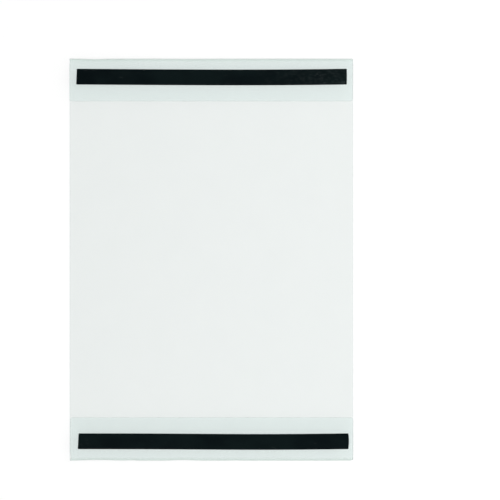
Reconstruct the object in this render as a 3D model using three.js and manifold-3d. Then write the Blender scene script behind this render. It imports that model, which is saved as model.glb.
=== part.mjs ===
// A4 magnetic document pocket, millimetres, +Z up.
// It lies on its clear front face with the magnetic back upwards. X runs across the pocket, from one open side
// to the other, and Y runs from the lower fold to the upper fold. The origin is at the middle of the front face.
//
// One clear film is folded over at both ends into two flaps. The document slides in from either side, under both
// flaps. Each flap carries a flexible magnetic strip on its back, held by a double-sided adhesive tape.
import * as THREE from "three";
import { mergeVertices } from "three/addons/utils/BufferGeometryUtils.js";
import Module from "manifold-3d";

const wasm = await Module();
wasm.setup();

// The pocket
const POCKET_WIDTH = 221; // between the open sides
const POCKET_HEIGHT = 313; // from fold to fold, outside
const FILM_THICKNESS = 0.3;
const SLOT_HEIGHT = 4.6; // clear height under a flap, where the document slides in
const FOLD_REACH = 3.2; // how far the rounded fold reaches in from its outside
const FLAP_CORNER_RADIUS = 2;
const FOLD_STEPS = 12; // flat faces round each half of a fold
const CORNER_STEPS = 6; // flat faces round a corner

// The magnetic strips and their tapes
const STRIP_END_MARGIN = 5.5; // from the pocket's open side to a strip's end, when the strip is laid in the middle
const STRIP_WIDTH = 12.2;
const STRIP_THICKNESS = 1;
const STRIP_CORNER_RADIUS = 0.6;
const TAPE_THICKNESS = 0.15;
const TAPE_INSET = 0.3; // how far the tape's edge stays inside the strip's edge
const BOW_STEPS = 16; // straight pieces along a strip's bowed edge

// How each flap was folded over, and how its strip was cut and laid by hand
const UPPER_FLAP = {
  leftInset: 0.1, // how much narrower than the pocket the flap is at -X
  rightInset: 0.6, // and at +X
  stripToFold: 8.2, // from the fold's outside to the strip's ends
  stripToFreeEdge: 13,
  stripShift: 0.2, // along X
  stripBow: -0.6, // along Y, of the strip's middle against its ends
  stripSway: -0.1, // along Y, of its right half, and of its left half the other way
  leftSlant: 0.4, // how far the left end leans out towards -Y
  rightBulge: 0.1, // how far the right end's middle stands out
};
const LOWER_FLAP = {
  leftInset: 0.6,
  rightInset: 0.2,
  stripToFold: 9.3,
  stripToFreeEdge: 12.4,
  stripShift: 1.5,
  stripBow: -0.4,
  stripSway: -0.2,
  leftSlant: 0.6,
  rightBulge: 0.4,
};

// Levels, from the surface that the pocket lies on
const FLAP_UNDERSIDE = FILM_THICKNESS + SLOT_HEIGHT;
const FLAP_TOP = FLAP_UNDERSIDE + FILM_THICKNESS;
const SLOT_MIDDLE = FILM_THICKNESS + SLOT_HEIGHT / 2;
const TAPE_TOP = FLAP_TOP + TAPE_THICKNESS;
const STRIP_TOP = TAPE_TOP + STRIP_THICKNESS;

// Places in the plan
const SIDE = POCKET_WIDTH / 2;
const FOLD_OUTSIDE = POCKET_HEIGHT / 2;
const FOLD_LINE = FOLD_OUTSIDE - FOLD_REACH; // where the flat film turns into the fold
const QUARTER_TURN = Math.PI / 2;

// Distance of a flap's free edge from the pocket's middle.
function freeEdge(flap) {
  return FOLD_OUTSIDE - flap.stripToFold - STRIP_WIDTH - flap.stripToFreeEdge;
}

// Materials

function clearFilm() {
  return new THREE.MeshStandardMaterial({
    color: 0xe2ebe9,
    roughness: 0.1,
    metalness: 0,
    transparent: true,
    opacity: 0.3,
  });
}

function magneticRubber() {
  return new THREE.MeshStandardMaterial({ color: 0x101819, roughness: 0.55, metalness: 0 });
}

function adhesive() {
  return new THREE.MeshStandardMaterial({ color: 0xb9bdb6, roughness: 0.8, metalness: 0 });
}

// Solids

function solidOf(geometry) {
  const bare = new THREE.BufferGeometry();
  bare.setAttribute("position", geometry.getAttribute("position"));
  const merged = mergeVertices(bare, 1e-4);
  return new wasm.Manifold(
    new wasm.Mesh({
      numProp: 3,
      vertProperties: new Float32Array(merged.attributes.position.array),
      triVerts: new Uint32Array(merged.index.array),
    }),
  );
}

function geometryOf(solid) {
  const mesh = solid.getMesh();
  const geometry = new THREE.BufferGeometry();
  geometry.setAttribute("position", new THREE.BufferAttribute(new Float32Array(mesh.vertProperties), 3));
  geometry.setIndex(new THREE.BufferAttribute(new Uint32Array(mesh.triVerts), 1));
  geometry.computeVertexNormals();
  return geometry;
}

// A prism that stands on a plan outline between two levels.
function prism(outline, low, high) {
  const settings = { depth: high - low, bevelEnabled: false, curveSegments: CORNER_STEPS };
  return new THREE.ExtrudeGeometry(outline, settings).translate(0, 0, low);
}

// The geometry mirrored along X, along Y or along both, with its faces still turned outwards.
function mirrored(geometry, alongX, alongY) {
  geometry.scale(alongX, alongY, 1);
  if (alongX * alongY > 0) return geometry;
  const position = geometry.getAttribute("position");
  for (let i = 0; i < position.count; i += 3) {
    const first = new THREE.Vector3().fromBufferAttribute(position, i);
    const second = new THREE.Vector3().fromBufferAttribute(position, i + 1);
    position.setXYZ(i, ...second);
    position.setXYZ(i + 1, ...first);
  }
  return geometry;
}

// The pocket film

// The section of the folded film across its folds, drawn with Y of the pocket to the right and Z upwards.
function filmSection() {
  const middle = FLAP_TOP / 2; // level of the folds' outermost line
  const innerReach = FOLD_REACH - FILM_THICKNESS;
  const innerHalfHeight = SLOT_HEIGHT / 2;
  const section = new THREE.Shape();
  section.moveTo(-FOLD_LINE, 0);
  section.lineTo(FOLD_LINE, 0);
  section.absellipse(FOLD_LINE, middle, FOLD_REACH, middle, -QUARTER_TURN, QUARTER_TURN, false);
  section.lineTo(freeEdge(UPPER_FLAP), FLAP_TOP);
  section.lineTo(freeEdge(UPPER_FLAP), FLAP_UNDERSIDE);
  section.lineTo(FOLD_LINE, FLAP_UNDERSIDE);
  section.absellipse(FOLD_LINE, middle, innerReach, innerHalfHeight, QUARTER_TURN, -QUARTER_TURN, true);
  section.lineTo(-FOLD_LINE, FILM_THICKNESS);
  section.absellipse(-FOLD_LINE, middle, innerReach, innerHalfHeight, -QUARTER_TURN, QUARTER_TURN, true);
  section.lineTo(-freeEdge(LOWER_FLAP), FLAP_UNDERSIDE);
  section.lineTo(-freeEdge(LOWER_FLAP), FLAP_TOP);
  section.lineTo(-FOLD_LINE, FLAP_TOP);
  section.absellipse(-FOLD_LINE, middle, FOLD_REACH, middle, QUARTER_TURN, -QUARTER_TURN, false);
  return section;
}

// What is cut away beside a flap at +X and +Y: the film outside its inset side and its rounded free corner.
// The cut starts at the fold and leaves the fold itself at the pocket's full width.
function flapTrim(flap, inset) {
  const edge = SIDE - inset;
  const outside = SIDE + FLAP_CORNER_RADIUS;
  const arcStart = edge - FLAP_CORNER_RADIUS;
  const outline = new THREE.Shape();
  outline.moveTo(arcStart, freeEdge(flap));
  outline.absarc(arcStart, freeEdge(flap) + FLAP_CORNER_RADIUS, FLAP_CORNER_RADIUS, -QUARTER_TURN, 0, false);
  outline.lineTo(edge, FOLD_LINE);
  outline.lineTo(outside, FOLD_LINE + outside - edge);
  outline.lineTo(outside, freeEdge(flap) - FILM_THICKNESS);
  outline.lineTo(arcStart, freeEdge(flap) - FILM_THICKNESS);
  return prism(outline, SLOT_MIDDLE, FLAP_TOP + FILM_THICKNESS);
}

function pocketFilm() {
  const settings = { depth: POCKET_WIDTH, bevelEnabled: false, curveSegments: FOLD_STEPS };
  const swept = new THREE.ExtrudeGeometry(filmSection(), settings).translate(0, 0, -SIDE);
  // The section's right, up and sweep directions become Y, Z and X.
  const turn = new THREE.Matrix4().makeBasis(
    new THREE.Vector3(0, 1, 0),
    new THREE.Vector3(0, 0, 1),
    new THREE.Vector3(1, 0, 0),
  );
  let film = solidOf(swept.applyMatrix4(turn));
  for (const [flap, end] of [[UPPER_FLAP, 1], [LOWER_FLAP, -1]]) {
    for (const [inset, side] of [[flap.leftInset, -1], [flap.rightInset, 1]]) {
      film = film.subtract(solidOf(mirrored(flapTrim(flap, inset), side, end)));
    }
  }
  const mesh = new THREE.Mesh(geometryOf(film), clearFilm());
  mesh.name = "pocket_film";
  return mesh;
}

// The magnetic strips

// Plan outline of a flap's strip, laid along X with the middles of its ends at y = 0. It is drawn inset all
// round for the tape.
function stripOutline(flap, inset) {
  const end = SIDE - STRIP_END_MARGIN - inset;
  const half = STRIP_WIDTH / 2 - inset;
  const round = STRIP_CORNER_RADIUS;
  const bowAt = (x) => flap.stripBow * (1 - (x / end) ** 2) + flap.stripSway * Math.sin((Math.PI * x) / end);
  const bowedEdge = (side, towards) => {
    for (let i = 1; i < BOW_STEPS; i++) {
      const x = towards * end * ((2 * i) / BOW_STEPS - 1);
      outline.lineTo(x, bowAt(x) + side * half);
    }
  };
  const upperLeft = -end + flap.leftSlant / 2;
  const lowerLeft = -end - flap.leftSlant / 2;
  const outline = new THREE.Shape();
  outline.moveTo(lowerLeft + round, -half);
  bowedEdge(-1, 1);
  outline.lineTo(end - round, -half);
  outline.quadraticCurveTo(end, -half, end, -half + round);
  outline.quadraticCurveTo(end + 2 * flap.rightBulge, 0, end, half - round);
  outline.quadraticCurveTo(end, half, end - round, half);
  bowedEdge(1, -1);
  outline.lineTo(upperLeft + round, half);
  outline.quadraticCurveTo(upperLeft, half, upperLeft, half - round);
  outline.lineTo(lowerLeft, -half + round);
  outline.quadraticCurveTo(lowerLeft, -half, lowerLeft + round, -half);
  return outline;
}

// The tape and the magnetic strip on one flap. end is 1 at the upper fold and -1 at the lower one.
function stripOnFlap(name, flap, end) {
  const tape = new THREE.Mesh(prism(stripOutline(flap, TAPE_INSET), FLAP_TOP, TAPE_TOP), adhesive());
  tape.name = name + "_adhesive_tape";
  const magnet = new THREE.Mesh(prism(stripOutline(flap, 0), TAPE_TOP, STRIP_TOP), magneticRubber());
  magnet.name = name + "_magnetic_strip";
  const laid = new THREE.Group();
  laid.position.set(flap.stripShift, end * (FOLD_OUTSIDE - flap.stripToFold - STRIP_WIDTH / 2), 0);
  laid.add(tape, magnet);
  return laid;
}

const pocket = new THREE.Group();
pocket.name = "magnetic_document_pocket";
pocket.add(pocketFilm());
pocket.add(stripOnFlap("upper", UPPER_FLAP, 1));
pocket.add(stripOnFlap("lower", LOWER_FLAP, -1));

export default pocket;
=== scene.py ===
import math
from collections import namedtuple

import bpy
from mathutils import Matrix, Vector, noise


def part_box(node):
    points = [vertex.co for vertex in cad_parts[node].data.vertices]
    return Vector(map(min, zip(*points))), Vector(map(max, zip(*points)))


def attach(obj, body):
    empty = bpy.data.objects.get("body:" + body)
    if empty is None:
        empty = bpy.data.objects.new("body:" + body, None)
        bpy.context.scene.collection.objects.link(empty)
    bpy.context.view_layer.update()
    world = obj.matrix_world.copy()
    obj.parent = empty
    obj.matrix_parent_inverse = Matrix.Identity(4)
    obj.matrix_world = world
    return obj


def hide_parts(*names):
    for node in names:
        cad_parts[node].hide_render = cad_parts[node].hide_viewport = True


# Looks of the magnetic document pocket: the folded clear film, its two magnetic strips and their tapes, on a
# white table. Metres, +Z up. The pocket lies on its clear front face.

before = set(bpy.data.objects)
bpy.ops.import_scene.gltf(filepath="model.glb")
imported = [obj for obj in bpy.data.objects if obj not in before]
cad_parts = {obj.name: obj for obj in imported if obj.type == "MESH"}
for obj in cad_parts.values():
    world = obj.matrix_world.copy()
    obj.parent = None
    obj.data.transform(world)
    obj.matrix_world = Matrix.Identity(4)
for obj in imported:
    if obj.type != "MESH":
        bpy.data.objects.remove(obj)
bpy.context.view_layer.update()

MM = 0.001

# The view: straight down on the pocket, which lies left of the middle of the picture
VIEW_SIDE = 389.1 * MM  # side of the square picture, at the level of the film
VIEW_CENTRE = (30.0 * MM, 7.5 * MM)
VIEW_HEIGHT = 2200 * MM
SENSOR = 36.0  # width of the camera's sensor, which Blender counts in millimetres

# The folded film, with the sizes of its solid
SIDE, FOLD_OUTSIDE, FLAP_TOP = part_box("pocket_film")[1]
THICKNESS = 0.3 * MM
FOLD_REACH = 3.2 * MM  # how far the rounded fold reaches in from its outside
FOLD_LINE = FOLD_OUTSIDE - FOLD_REACH
CORNER_RADIUS = 2 * MM

# The two ends of the pocket. The insets say how far the film stands in from the pocket's side, at -X and at
# +X: along the flap, and at the flap's side of the fold. A dent is a place where the fold was pressed in a
# little: its place along X, half width and depth, in millimetres. pattern picks the flap's waves.
End = namedtuple("End", "towards strip free_edge insets fold_insets dents pattern")
UPPER = End(
    towards=1,
    strip=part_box("upper_magnetic_strip"),
    free_edge=123.1 * MM,
    insets=(0.1 * MM, 0.6 * MM),
    fold_insets=(0.3 * MM, 0.6 * MM),
    dents=((-90, 14, 0.3), (-20, 30, 0.12), (111, 2, 0.7)),
    pattern=4.0,
)
LOWER = End(
    towards=-1,
    strip=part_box("lower_magnetic_strip"),
    free_edge=-122.6 * MM,
    insets=(0.6 * MM, 0.2 * MM),
    fold_insets=(1.3 * MM, 0.3 * MM),
    dents=((-88, 26, 0.45), (-62, 7, 0.25), (-22, 17, 0.4), (20, 12, 0.12), (111, 3, 1.1)),
    pattern=2.0,
)
STRIP_TOP = UPPER.strip[1].z

# The film's own unevenness
FLAP_WAVE = 0.12 * MM
FLAP_WAVE_RATE = (22, 30)  # how fast the waves change along X and Y, per metre
FRONT_WAVE = 0.1 * MM
FRONT_WAVE_RATE = (16, 12)
FRONT_PATTERN = 9.0
TAPE_GAP = 0.02 * MM  # keeps the flap's face off the face of its tape
HELD_FLAT = 1 * MM  # a strip holds its flap flat this far round it
FREE_AGAIN = 6 * MM  # and from here on the flap waves fully
FRONT_FADE = 12 * MM  # the front's waves fade out over this length towards a fold
FOLD_END_FADE = 4 * MM  # a flap's side goes over into its fold's side along this length
INSET_FALLOFF = 1.5  # power by which a fold's inset fades round the fold
DENT_FALLOFF = 0.7  # power by which a dent fades from the fold's outermost line

# The film's mesh
COLUMN_STEP = 2.4 * MM
ROW_STEP = 3.5 * MM
FOLD_ROWS = 24
CORNER_ROWS = (0.0, 0.12, 0.45, 0.8, 1.3, 2.0)  # millimetres from the free edge
SIDE_COLUMNS = (0.0, 0.45, 1.0, 1.7)  # millimetres from the pocket's side
SHARP_ANGLE = math.radians(40)  # a steeper edge of the mesh stays sharp
OUTER, INNER = range(2)  # the two faces of the sheet

# One row of the film's mesh across the pocket. part is flap, fold or front. end is UPPER or LOWER, or None on
# the front. y and z are its place, and normal_y and normal_z its outward direction.
Station = namedtuple("Station", "part end y z normal_y normal_z")

# The film's finishes in the order of their slots: on the flaps and the upper halves of the folds, on the cut
# edges and a rim beside them, and on the front and the lower halves of the folds. Each has what one face lets
# through seen flat and seen edge-on, the share that it scatters, and the share that it reflects seen flat.
CLEAR, SHADED_CUT_EDGE, SHADED_FRONT = range(3)
FILM_FINISHES = (
    ("clear_film", (0.976, 1.0, 0.998), (0.868, 0.91, 0.892), 0.02, 0.008),
    # painted shade: the cut edges and their rim are tinted darker, for the dark line that a refracting cut
    # edge shows
    ("film_cut_edge_painted_shade", (0.94, 0.96, 0.956), (0.84, 0.87, 0.865), 0.05, 0.025),
    # painted shade: the front and the folds' lower halves are tinted darker than the flaps, for the pocket's
    # own shadow on the table under it
    ("front_film_painted_shade", (0.947, 0.96, 0.956), (0.89, 0.918, 0.904), 0.02, 0.025),
)
MILKY = (0.78, 0.86, 0.85)  # what the film scatters
GRAZING_POWER = 5.0  # how late the film's reflection rises towards a grazing view
SLANT_POWER = 0.5  # how early its tint deepens

# The strips' rubber
RUBBER_DARK = (0.0001, 0.001, 0.0016)
RUBBER_PALE = (0.0013, 0.0036, 0.0038)
# what the scuffs, the paler spots and the painted sheen blend towards
RUBBER_SCUFFS_AND_PAINTED_SHEEN = (0.03, 0.036, 0.036)
RUBBER_SHEEN = (0.55, 0.88, 0.93)

# Where the strips are painted paler: x, y and radius in millimetres, and strength
UPPER_MARKS = (
    (82.8, 143.4, 2.4, 1.0),
    (103.0, 136.9, 3.2, 1.0),
    (98.5, 136.4, 2.6, 1.0),
    (93.5, 136.2, 2.4, 0.8),
    (88.0, 136.2, 2.0, 0.6),
    # painted sheen: this wide spot makes the upper strip paler towards its right end, where more light falls
    (88.0, 142.0, 60.0, 0.3),
)
LOWER_MARKS = (
    (-96.0, -143.5, 3.0, 0.12),
    (28.0, -141.5, 2.5, 0.15),
)

# The tapes
TAPE_DARK = (0.42, 0.44, 0.42)
TAPE_PALE = (0.56, 0.58, 0.56)

# The table
TABLE_HALF = 4.0
TABLE_LEVEL = -0.2 * MM
TABLE_GREY = (0.21, 0.21, 0.21)
# painted shade: the glow is dimmer at the pocket's left side than at its right side, as if more light fell
# from the right
TABLE_GLOW = (0.798, 0.828)  # at the pocket's left side and at its right side

# The light from all round. Heights are the sine of the angle above the horizon.
WORLD_HEIGHTS = (0.0, 0.8)
WORLD_STRENGTHS = (0.9, 0.32)
WORLD_COLOUR = (1, 1, 1)

# The lamps: name, azimuth and elevation in degrees, distance and size in metres, and power in watts
LAMPS = (
    ("key", 10, 35, 1.5, 1.2, 17.0),
    ("fill", 200, 44, 1.8, 1.6, 7.0),
    ("low_fill", 272, 42, 1.8, 1.4, 8.0),
)


def make_camera():
    """A camera that looks straight down."""
    data = bpy.data.cameras.new("camera")
    data.sensor_width = SENSOR
    data.lens = SENSOR * (VIEW_HEIGHT - FLAP_TOP / 2) / VIEW_SIDE
    camera = bpy.data.objects.new("camera", data)
    camera.location = (*VIEW_CENTRE, VIEW_HEIGHT)
    bpy.context.collection.objects.link(camera)
    bpy.context.scene.camera = camera


make_camera()


# Node helpers


def new_material(name):
    """An empty material and the function that adds nodes to it."""
    material = bpy.data.materials.new(name)
    material.use_nodes = True
    tree = material.node_tree
    tree.nodes.clear()
    return material, node_adder(tree)


def node_adder(tree):
    """A function that adds a node, sets its properties and fills its inputs with values or other outputs."""

    def add(kind, inputs=None, **properties):
        node = tree.nodes.new(kind)
        for name, value in properties.items():
            setattr(node, name, value)
        for name, value in (inputs or {}).items():
            if isinstance(value, bpy.types.NodeSocket):
                tree.links.new(value, node.inputs[name])
            else:
                node.inputs[name].default_value = value
        return node

    return add


def scaled_noise(add, scale, detail, stretch=(1, 1, 1)):
    """Noise in object space; scale is in features per metre."""
    place = add("ShaderNodeTexCoord").outputs["Object"]
    mapping = add("ShaderNodeMapping", {"Vector": place, "Scale": stretch})
    inputs = {"Vector": mapping.outputs["Vector"], "Scale": scale, "Detail": detail}
    return add("ShaderNodeTexNoise", inputs).outputs["Fac"]


def ranged(add, value, source, target):
    """The value, mapped and clamped from one range to another; each range is its two ends."""
    inputs = {
        "Value": value,
        "From Min": source[0],
        "From Max": source[1],
        "To Min": target[0],
        "To Max": target[1],
    }
    return add("ShaderNodeMapRange", inputs).outputs["Result"]


def math_node(add, operation, first, second):
    """The result of a mathematical operation on two values or outputs."""
    return add("ShaderNodeMath", {0: first, 1: second}, operation=operation).outputs[0]


def blended_colour(add, factor, first, second):
    """A colour between two others, each given as red, green and blue or as another node's output."""
    inputs = {"Factor": factor}
    for socket, colour in ((6, first), (7, second)):
        inputs[socket] = colour if isinstance(colour, bpy.types.NodeSocket) else (*colour, 1)
    return add("ShaderNodeMix", inputs, data_type="RGBA").outputs[2]


# Materials


def film_material(name, clear, edge_on, haze, shine):
    """Clear film, from the values of one of its finishes."""
    material, add = new_material(name)
    facing = add("ShaderNodeLayerWeight", {"Blend": 0.5}).outputs["Facing"]
    grazing = math_node(add, "POWER", facing, GRAZING_POWER)
    slant = math_node(add, "POWER", facing, SLANT_POWER)
    waves = scaled_noise(add, 45, 2.0)
    scuffs = scaled_noise(add, 900, 4.0, (0.25, 1, 1))
    cloud = scaled_noise(add, 30, 4.0)
    bump = add("ShaderNodeBump", {"Height": waves, "Strength": 0.5, "Distance": 0.02 * MM})
    passed = add("ShaderNodeBsdfTransparent", {"Color": blended_colour(add, slant, clear, edge_on)})
    milky = add("ShaderNodeBsdfDiffuse", {"Color": (*MILKY, 1)})
    scattered = ranged(add, cloud, (0.3, 0.7), (haze * 0.7, haze * 1.3))
    body = add("ShaderNodeMixShader", {0: scattered, 1: passed.outputs[0], 2: milky.outputs[0]})
    gloss_inputs = {
        "Roughness": ranged(add, scuffs, (0.35, 0.75), (0.1, 0.13)),
        "Normal": bump.outputs["Normal"],
    }
    gloss = add("ShaderNodeBsdfGlossy", gloss_inputs)
    reflected = ranged(add, grazing, (0.0, 1.0), (shine, 1.0))
    surface = add("ShaderNodeMixShader", {0: reflected, 1: body.outputs[0], 2: gloss.outputs[0]})
    add("ShaderNodeOutputMaterial", {"Surface": surface.outputs[0]})
    return material


def rubber_material(name, marks):
    """Satin black magnetic rubber with a fine grain, faint rolling lines, faint scuffs and a few paler spots,
    one of them a painted sheen.
    """
    material, add = new_material(name)
    grain = scaled_noise(add, 4200, 3.0)
    lines = scaled_noise(add, 1500, 3.0, (0.012, 1, 1))
    cloud = scaled_noise(add, 70, 4.0, (0.6, 1, 1))
    height = math_node(add, "ADD", grain, math_node(add, "MULTIPLY", lines, 0.7))
    bump = add("ShaderNodeBump", {"Height": height, "Strength": 0.5, "Distance": 0.06 * MM})
    spread = ranged(add, cloud, (0.38, 0.62), (0.0, 1.0))
    black = blended_colour(add, spread, RUBBER_DARK, RUBBER_PALE)
    inputs = {
        # the scuffs, the paler spots and the painted sheen, over the rubber's own tone
        "Base Color": blended_colour(add, scuffs_spots_and_painted_sheen(add, marks), black, RUBBER_SCUFFS_AND_PAINTED_SHEEN),
        "Roughness": ranged(add, cloud, (0.3, 0.7), (0.46, 0.62)),
        "Specular IOR Level": 0.11,
        "Specular Tint": (*RUBBER_SHEEN, 1),
        "Normal": bump.outputs["Normal"],
    }
    shader = add("ShaderNodeBsdfPrincipled", inputs)
    add("ShaderNodeOutputMaterial", {"Surface": shader.outputs[0]})
    return material


def scuffs_spots_and_painted_sheen(add, marks):
    """How pale the rubber is painted: faint scuffs all over it, and soft spots that are broken up by noise,
    one of them a painted sheen.
    """
    place = add("ShaderNodeTexCoord").outputs["Object"]
    broken = ranged(add, scaled_noise(add, 700, 4.0, (0.5, 1, 1)), (0.45, 0.7), (0.0, 1.0))
    total = ranged(add, scaled_noise(add, 420, 5.0, (0.3, 1, 1)), (0.66, 0.8), (0.0, 0.35))
    for x, y, radius, strength in marks:
        centre = (x * MM, y * MM, STRIP_TOP)
        distance = add("ShaderNodeVectorMath", {0: place, 1: centre}, operation="DISTANCE").outputs["Value"]
        spot = ranged(add, distance, (0.0, radius * MM), (strength, 0.0))
        total = math_node(add, "ADD", total, math_node(add, "MULTIPLY", spot, broken))
    return total


def tape_material(name):
    """Matt whitish double-sided tape with a faint fibre."""
    material, add = new_material(name)
    fibre = scaled_noise(add, 2500, 4.0, (0.2, 1, 1))
    cloud = scaled_noise(add, 120, 3.0)
    half_fibre = math_node(add, "MULTIPLY", fibre, 0.5)
    half_cloud = math_node(add, "MULTIPLY", cloud, 0.5)
    spread = ranged(add, math_node(add, "ADD", half_fibre, half_cloud), (0.35, 0.65), (0.0, 1.0))
    bump = add("ShaderNodeBump", {"Height": fibre, "Strength": 0.4, "Distance": 0.03 * MM})
    inputs = {
        "Base Color": blended_colour(add, spread, TAPE_DARK, TAPE_PALE),
        "Roughness": ranged(add, fibre, (0.3, 0.7), (0.7, 0.85)),
        "Normal": bump.outputs["Normal"],
    }
    shader = add("ShaderNodeBsdfPrincipled", inputs)
    add("ShaderNodeOutputMaterial", {"Surface": shader.outputs[0]})
    return material


# The film's mesh


def steps_between(start, end, step):
    """Evenly spaced values from start to end, both included."""
    count = max(1, round(abs(end - start) / step))
    return [start + (end - start) * i / count for i in range(count + 1)]


def flap_stations(end):
    """Rows across a flap, from its free edge to the fold."""
    near_edge = [end.free_edge + end.towards * step * MM for step in CORNER_ROWS]
    rest = steps_between(near_edge[-1], end.towards * FOLD_LINE, ROW_STEP / 2)[1:]
    middle = FLAP_TOP - THICKNESS / 2
    return [Station("flap", end, y, middle, 0.0, 1.0) for y in near_edge + rest]


def fold_stations(end):
    """Rows round a fold from the flap to the front, along its outer half ellipse."""
    half_height = FLAP_TOP / 2
    reach = FOLD_REACH - THICKNESS / 2
    rise = half_height - THICKNESS / 2
    rows = []
    for i in range(1, FOLD_ROWS):
        angle = math.pi / 2 - math.pi * i / FOLD_ROWS
        out, up = math.cos(angle), math.sin(angle)
        y = end.towards * (FOLD_LINE + reach * out)
        rows.append(Station("fold", end, y, half_height + rise * up, end.towards * out, up))
    return rows


def film_stations():
    """All rows along the film, from the lower flap's free edge round both folds to the upper one."""
    front = steps_between(-FOLD_LINE, FOLD_LINE, ROW_STEP)
    return (
        flap_stations(LOWER)
        + fold_stations(LOWER)
        + [Station("front", None, y, THICKNESS / 2, 0.0, -1.0) for y in front]
        + fold_stations(UPPER)[::-1]
        + flap_stations(UPPER)[::-1]
    )


def column_places():
    """Where the columns stand across the film, 0 at -X and 1 at +X, closer together at both sides."""
    near = [step * MM / (2 * SIDE) for step in SIDE_COLUMNS]
    between = steps_between(near[-1], 1 - near[-1], COLUMN_STEP / (2 * SIDE))
    return near[:-1] + between + [1 - place for place in near[-2::-1]]


def film_side(station, side):
    """Distance of the film's side from the pocket's middle line; side is 0 at -X and 1 at +X."""
    if station.part == "front":
        return SIDE
    end = station.end
    fold_inset = end.fold_insets[side]
    if station.part == "fold":
        return SIDE - fold_inset * (0.5 + 0.5 * station.normal_z) ** INSET_FALLOFF
    near_fold = max(0.0, 1 - (FOLD_LINE - abs(station.y)) / FOLD_END_FADE)
    inset = end.insets[side] + (fold_inset - end.insets[side]) * near_fold
    from_edge = abs(station.y - end.free_edge)
    if from_edge < CORNER_RADIUS:
        inset += CORNER_RADIUS - math.sqrt(CORNER_RADIUS**2 - (CORNER_RADIUS - from_edge) ** 2)
    return SIDE - inset


def smooth_bump(distance, half_width):
    """1 in the middle, falling smoothly to 0 at half_width."""
    if abs(distance) >= half_width:
        return 0.0
    return 0.5 + 0.5 * math.cos(math.pi * distance / half_width)


def dent_depth(end, x):
    """How far the end's fold is pressed in at x."""
    return sum(depth * MM * smooth_bump(x / MM - place, half) for place, half, depth in end.dents)


def strip_clearance(end, y):
    """0 where the strip holds its flap flat, rising to 1 away from it."""
    low, high = end.strip
    gap = max(low.y - y, y - high.y)
    return max(0.0, min(1.0, (gap - HELD_FLAT) / (FREE_AGAIN - HELD_FLAT)))


def film_wave(x, y, rate, pattern):
    """Smooth noise around 0; rate is how fast it changes along X and Y, and pattern picks one of many."""
    return noise.noise(Vector((x * rate[0], y * rate[1], pattern)))


def film_lift(station, x):
    """How far the film stands off its flat or round shape, along its outward direction."""
    end, y = station.end, station.y
    if station.part == "flap":
        wave = film_wave(x, y, FLAP_WAVE_RATE, end.pattern)
        return FLAP_WAVE * wave * strip_clearance(end, y) - TAPE_GAP
    if station.part == "front":
        fade = min(1.0, (FOLD_LINE - abs(y)) / FRONT_FADE)
        wave = film_wave(x, y, FRONT_WAVE_RATE, FRONT_PATTERN)
        return -FRONT_WAVE * fade * (0.5 + 0.5 * wave)
    return 0.0


def film_point(station, x, outward):
    """A point of the sheet's outer face (outward 1) or inner face (outward -1)."""
    lift = film_lift(station, x) + outward * THICKNESS / 2
    y = station.y
    if station.part == "fold":
        end = station.end
        y -= end.towards * dent_depth(end, x) * abs(station.normal_y) ** DENT_FALLOFF
    return (x, y + station.normal_y * lift, station.z + station.normal_z * lift)


def film_points(stations, columns):
    """The points of the sheet's outer face and then of its inner face, row by row."""
    points = []
    for outward in (1, -1):
        for station in stations:
            left, right = -film_side(station, 0), film_side(station, 1)
            for place in columns:
                points.append(film_point(station, left + (right - left) * place, outward))
    return points


def film_faces(stations, columns):
    """The faces of the closed sheet, and for each of them the slot of its finish."""
    rows, width = len(stations), len(columns)
    last_row, last_column = rows - 1, width - 1
    rim_rows = (0, 1, last_row - 2, last_row - 1)
    rim_columns = (0, last_column - 1)
    faces, slots = [], []

    def at(face, row, column):
        return (face * rows + row) * width + column

    for row in range(last_row):
        up = row + 1
        # faces below the folds' middle take the front's finish, with its painted shade
        below = stations[row].normal_z <= 0 and stations[up].normal_z <= 0
        for column in range(last_column):
            beside = column + 1
            here, across, along, opposite = (row, column), (row, beside), (up, column), (up, beside)
            faces.append([at(OUTER, *place) for place in (here, across, opposite, along)])
            faces.append([at(INNER, *place) for place in (here, along, opposite, across)])
            # the rim takes the cut edges' finish, with its painted shade
            rim = row in rim_rows or column in rim_columns
            slots += [SHADED_CUT_EDGE if rim else SHADED_FRONT if below else CLEAR] * 2
    for row in range(last_row):
        up, end = row + 1, last_column
        faces.append([at(OUTER, row, 0), at(OUTER, up, 0), at(INNER, up, 0), at(INNER, row, 0)])
        faces.append([at(OUTER, row, end), at(INNER, row, end), at(INNER, up, end), at(OUTER, up, end)])
        slots += [SHADED_CUT_EDGE] * 2
    for column in range(last_column):
        beside, end = column + 1, last_row
        first = [(OUTER, 0, column), (INNER, 0, column), (INNER, 0, beside), (OUTER, 0, beside)]
        last = [(OUTER, end, column), (OUTER, end, beside), (INNER, end, beside), (INNER, end, column)]
        faces += [[at(*place) for place in first], [at(*place) for place in last]]
        slots += [SHADED_CUT_EDGE] * 2
    return faces, slots


def film_mesh():
    """The film as a closed sheet, THICKNESS thick, round both folds; its cut edges have a narrow rim of
    painted shade.
    """
    stations = film_stations()
    columns = column_places()
    faces, slots = film_faces(stations, columns)
    mesh = bpy.data.meshes.new("clear_film")
    mesh.from_pydata(film_points(stations, columns), [], faces)
    for polygon, slot in zip(mesh.polygons, slots):
        polygon.use_smooth = True
        polygon.material_index = slot
    mesh.set_sharp_from_angle(angle=SHARP_ANGLE)
    return mesh


def make_film():
    """The film, which stands for its solid, with all its finishes."""
    film = bpy.data.objects.new("clear_film", film_mesh())
    bpy.context.collection.objects.link(film)
    for finish in FILM_FINISHES:
        film.data.materials.append(film_material(*finish))
    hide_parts("pocket_film")
    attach(film, "root")


make_film()


# Strips and tapes


def finish_solid(name, material):
    """Gives a solid of the frame one material all over."""
    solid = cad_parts[name]
    solid.data.materials.clear()
    solid.data.materials.append(material)


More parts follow.
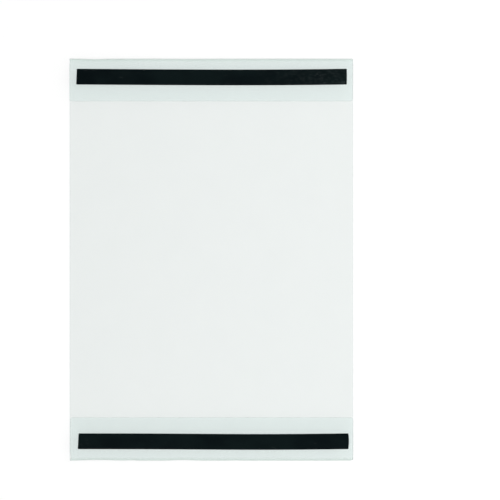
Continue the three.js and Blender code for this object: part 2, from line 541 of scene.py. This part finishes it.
for strip, marks in (("upper_magnetic_strip", UPPER_MARKS), ("lower_magnetic_strip", LOWER_MARKS)):
    finish_solid(strip, rubber_material(strip, marks))
tape_finish = tape_material("adhesive_tape")
finish_solid("upper_adhesive_tape", tape_finish)
finish_solid("lower_adhesive_tape", tape_finish)


# Table, world and lamps


def make_table():
    """A white table. Most of its brightness is its own glow, so that the shadows on it stay pale."""
    half = TABLE_HALF
    corners = [(-half, -half), (half, -half), (half, half), (-half, half)]
    mesh = bpy.data.meshes.new("table")
    mesh.from_pydata([(x, y, TABLE_LEVEL) for x, y in corners], [], [(0, 1, 2, 3)])
    table = bpy.data.objects.new("table", mesh)
    bpy.context.collection.objects.link(table)
    mesh.materials.append(table_material("table"))


def table_material(name):
    """Matt grey with a glow that is seen, also in the film and through it, but lights nothing round it. The
    glow is dimmer towards the left: painted shade.
    """
    material, add = new_material(name)
    rays = add("ShaderNodeLightPath")
    seen = math_node(add, "MAXIMUM", rays.outputs["Is Camera Ray"], rays.outputs["Is Glossy Ray"])
    seen = math_node(add, "MAXIMUM", seen, rays.outputs["Is Transmission Ray"])
    across = add("ShaderNodeSeparateXYZ", {0: add("ShaderNodeTexCoord").outputs["Object"]}).outputs["X"]
    # painted shade: the glow grows from the pocket's left side to its right side
    glow_with_painted_falloff = ranged(add, across, (-SIDE, SIDE), TABLE_GLOW)
    glow = add("ShaderNodeEmission", {"Strength": math_node(add, "MULTIPLY", seen, glow_with_painted_falloff)})
    matt = add("ShaderNodeBsdfDiffuse", {"Color": (*TABLE_GREY, 1)})
    both = add("ShaderNodeAddShader", {0: matt.outputs[0], 1: glow.outputs[0]})
    add("ShaderNodeOutputMaterial", {"Surface": both.outputs[0]})
    return material


def make_world():
    """Soft light from all round, bright at the horizon and dark straight above, as under a studio ceiling."""
    world = bpy.data.worlds.new("studio")
    world.use_nodes = True
    bpy.context.scene.world = world
    world.node_tree.nodes.clear()
    add = node_adder(world.node_tree)
    direction = add("ShaderNodeTexCoord").outputs["Generated"]
    height = add("ShaderNodeSeparateXYZ", {0: direction}).outputs["Z"]
    strength = ranged(add, height, WORLD_HEIGHTS, WORLD_STRENGTHS)
    background = add("ShaderNodeBackground", {"Color": (*WORLD_COLOUR, 1), "Strength": strength})
    add("ShaderNodeOutputWorld", {"Surface": background.outputs[0]})


def make_lamp(name, azimuth, elevation, distance, size, power):
    """A square soft lamp that looks at the pocket from an azimuth and an elevation, in degrees."""
    data = bpy.data.lights.new(name, "AREA")
    data.size = size
    data.energy = power
    lamp = bpy.data.objects.new(name, data)
    across = math.cos(math.radians(elevation))
    direction = Vector((
        across * math.cos(math.radians(azimuth)),
        across * math.sin(math.radians(azimuth)),
        math.sin(math.radians(elevation)),
    ))
    lamp.location = direction * distance
    lamp.rotation_euler = direction.to_track_quat("Z", "Y").to_euler()
    lamp.visible_camera = False
    bpy.context.collection.objects.link(lamp)


make_table()
make_world()
for lamp in LAMPS:
    make_lamp(*lamp)

bpy.context.scene.view_settings.view_transform = "Standard"
